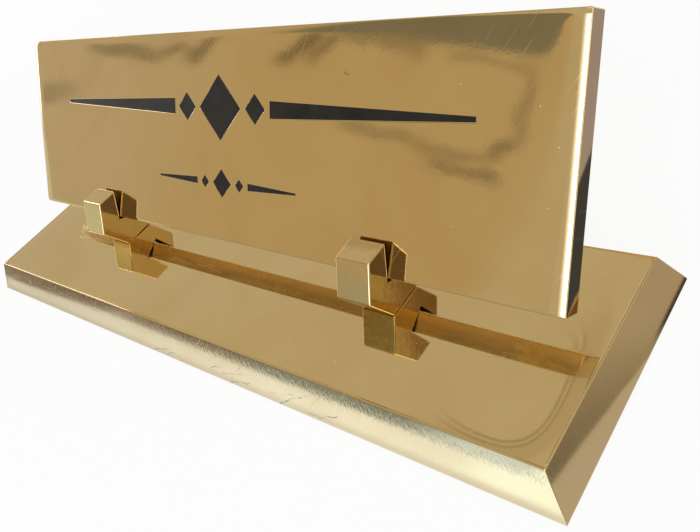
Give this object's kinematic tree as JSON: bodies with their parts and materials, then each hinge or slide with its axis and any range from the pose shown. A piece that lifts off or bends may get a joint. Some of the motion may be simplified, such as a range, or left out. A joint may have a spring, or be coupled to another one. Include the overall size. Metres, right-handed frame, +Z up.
{
  "type": "desk name plate",
  "caption": "Desk name plate of polished brass: a bevelled slab base with slotted hexagonal clips that hold a loose, leaning engraved plate, which lifts out of the slots.",
  "frame": {"origin": "middle of the felt underside, on the surface that the name plate stands on", "axes": "+X along the plate to the reader's right, +Y away from the reader, +Z up"},
  "size_m": [0.2596, 0.0763, 0.0772],
  "materials": {
    "base_brass": "mirror polished",
    "clip_brass": "polished, softened edges",
    "plate_brass": "mirror polished, engraved",
    "black_enamel": "semi-gloss filling",
    "screw_steel": "zinc plated",
    "felt": "pressed felt"
  },
  "bodies": {
    "stand": {"base": "base_brass", "felt_underlay": "felt", "left_clip": "clip_brass", "right_clip": "clip_brass", "left_clip_screw": "screw_steel", "right_clip_screw": "screw_steel"},
    "plate": {"name_plate": "plate_brass", "name_rule_enamel": "black_enamel", "title_rule_enamel": "black_enamel"}
  },
  "joints": [
    {"name": "plate_lift", "type": "slide", "parent": "stand", "child": "plate", "axis": [0, 0.5664, 0.8241], "range_m": [0, 0.016]}
  ]
}
